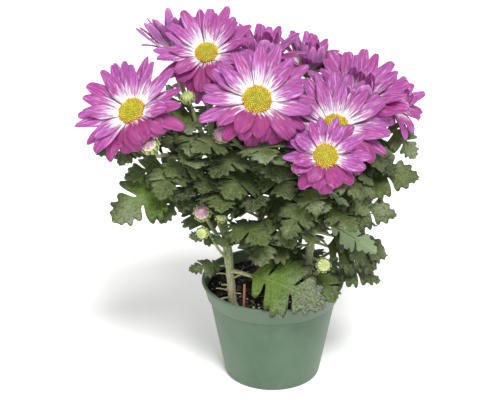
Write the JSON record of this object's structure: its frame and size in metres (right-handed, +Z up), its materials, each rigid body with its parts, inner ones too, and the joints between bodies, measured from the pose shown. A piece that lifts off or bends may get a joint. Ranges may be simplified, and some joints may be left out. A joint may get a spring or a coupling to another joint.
{
  "type": "pot chrysanthemum",
  "caption": "Flowering pot plant: magenta daisy blooms with yellow discs over lobed dark leaves, rooted in soil in a round green nursery pot that stands on its base.",
  "frame": {"origin": "middle of the pot's base, on the surface that the pot stands on", "axes": "+Z up, -Y towards the show side, where most blooms face, and +X to the right seen from there"},
  "size_m": [0.2703, 0.1917, 0.2973],
  "materials": {
    "pot": "moulded, satin, grey-green",
    "soil": "damp peat and bark with pale perlite grains",
    "dead_stem": "dry, matt, red-brown",
    "foliage": "waxy above, paler and matt below; pale green ribbed stems",
    "rays": "soft satin, magenta-pink with a white base and fine grooves",
    "disc": "matt, close-set tubular florets, golden at the edge",
    "bud_rosy": "soft satin, folded rays that show pink",
    "bud_green": "soft satin, folded rays still pale yellow-green"
  },
  "bodies": {
    "root": {"pot": "pot", "soil": "soil", "dead_stem": "dead_stem", "plant_left": "foliage", "plant_middle": "foliage", "plant_right": "foliage", "bloom_left_rays": "rays", "bloom_crown_left_rays": "rays", "bloom_crown_back_rays": "rays", "bloom_centre_rays": "rays", "bloom_crown_middle_rays": "rays", "bloom_crown_right_rays": "rays", "bloom_right_high_rays": "rays", "bloom_right_side_rays": "rays", "bloom_right_front_rays": "rays", "bloom_low_front_rays": "rays", "bloom_back_left_rays": "rays", "bloom_back_right_rays": "rays", "bloom_left_disc": "disc", "bloom_crown_left_disc": "disc", "bloom_crown_back_disc": "disc", "bloom_centre_disc": "disc", "bloom_crown_middle_disc": "disc", "bloom_crown_right_disc": "disc", "bloom_right_high_disc": "disc", "bloom_right_side_disc": "disc", "bloom_right_front_disc": "disc", "bloom_low_front_disc": "disc", "bloom_back_left_disc": "disc", "bloom_back_right_disc": "disc", "bud_left": "bud_rosy", "bud_centre": "bud_rosy", "bud_low_left": "bud_rosy", "bud_right": "bud_rosy", "bud_left_high": "bud_green", "bud_low_small": "bud_green", "bud_low_tiny": "bud_green", "bud_low_right": "bud_green"}
  },
  "joints": []
}
